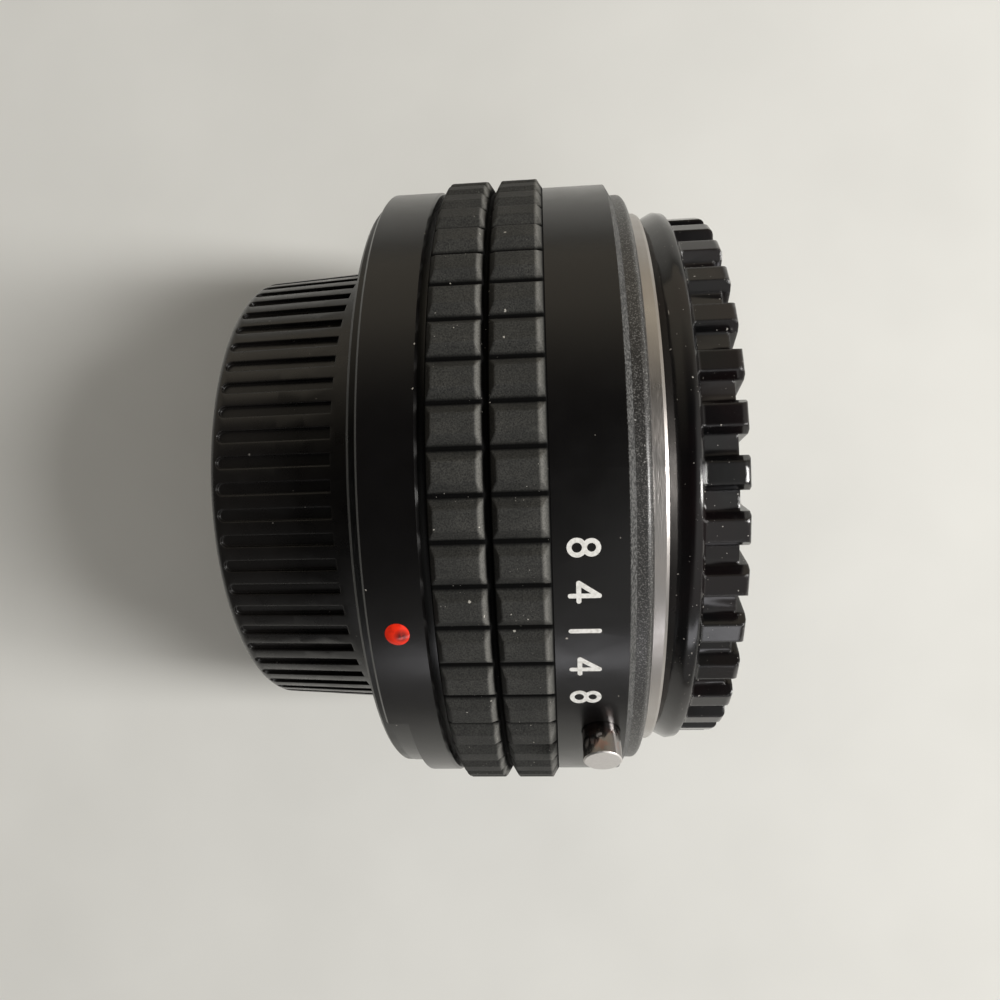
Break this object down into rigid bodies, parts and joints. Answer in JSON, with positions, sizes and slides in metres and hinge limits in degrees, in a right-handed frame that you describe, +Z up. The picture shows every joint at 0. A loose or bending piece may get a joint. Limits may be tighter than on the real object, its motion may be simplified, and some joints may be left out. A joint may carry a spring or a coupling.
{
  "type": "camera teleconverter",
  "caption": "Short round bayonet teleconverter lying on its ribbed rubber grip, with a chromed release button and push-fit caps on both ends.",
  "frame": {"origin": "centre of the bounding box's underside, below the optical axis, on the flat of the grip's lowest block", "axes": "+X along the optical axis towards the lens, +Z up, +Y across"},
  "size_m": [0.0464, 0.0652, 0.0652],
  "materials": {
    "cap_plastic": "satin moulded black plastic",
    "cap_gloss": "glossy moulded black plastic",
    "chrome": "bright chrome on brass",
    "steel": "bright steel screws",
    "spring_steel": "drawn wire and rolled strip",
    "barrel_black": "satin black on aluminium",
    "inner_black": "matt black anodised aluminium",
    "grip_rubber": "moulded matt rubber",
    "trim_grey": "dark grey textured anodised aluminium",
    "brass": "turned brass",
    "coated_glass": "polished coated glass",
    "red_bead": "glossy red bead",
    "white_paint": "white paint in engraving"
  },
  "bodies": {
    "body": {"camera_mount": "chrome", "camera_mount_screws": "steel", "rear_barrel": "barrel_black", "index_dot": "red_bead", "rubber_grip": "grip_rubber", "front_barrel": "barrel_black", "scale_marks": "white_paint", "trim_ring": "trim_grey", "lens_mount": "chrome", "lens_mount_screws": "steel", "lens_mount_springs": "spring_steel", "lock_pin_spring": "spring_steel", "bulkhead": "inner_black", "barrel_screws": "steel", "fixed_post": "steel", "diaphragm_spring": "spring_steel", "ring_retainer": "brass", "retainer_screws": "steel", "light_shield": "inner_black", "lens_cell": "inner_black", "retaining_ring": "inner_black", "element_1": "coated_glass", "element_2": "coated_glass", "element_3": "coated_glass", "element_4": "coated_glass", "spacer_front": "inner_black", "spacer_rear": "inner_black", "rear_baffle": "inner_black"},
    "rear_cap": {"rear_cap": "cap_plastic"},
    "front_cap": {"front_cap": "cap_gloss"},
    "release_button": {"release_button": "chrome", "button_clip": "spring_steel"},
    "lock_pin": {"lock_pin": "steel"},
    "diaphragm_ring": {"diaphragm_ring": "inner_black", "ring_post": "steel"}
  },
  "joints": [
    {"name": "rear_cap_pull", "type": "slide", "parent": "body", "child": "rear_cap", "axis": [-1, 0, 0], "range_m": [0, 0.03]},
    {"name": "front_cap_pull", "type": "slide", "parent": "body", "child": "front_cap", "axis": [1, 0, 0], "range_m": [0, 0.03]},
    {"name": "release_press", "type": "slide", "parent": "body", "child": "release_button", "axis": [0, 0.7108, -0.7034], "range_m": [0, 0.0012], "stiffness_N_per_m": 400},
    {"name": "lock_pin_retract", "type": "slide", "parent": "body", "child": "lock_pin", "axis": [-1, 0, 0], "range_m": [0, 0.0012], "stiffness_N_per_m": 400, "deforming": ["lock_pin_spring"]},
    {"name": "diaphragm_turn", "type": "hinge", "parent": "body", "child": "diaphragm_ring", "pos_m": [0, 0, 0.0326], "axis": [1, 0, 0], "range_deg": [0, 15], "stiffness_Nm_per_rad": 0.02, "deforming": ["diaphragm_spring"]}
  ],
  "couplings": [
    {"joint": "lock_pin_retract", "follows": "release_press", "ratio": 1}
  ]
}
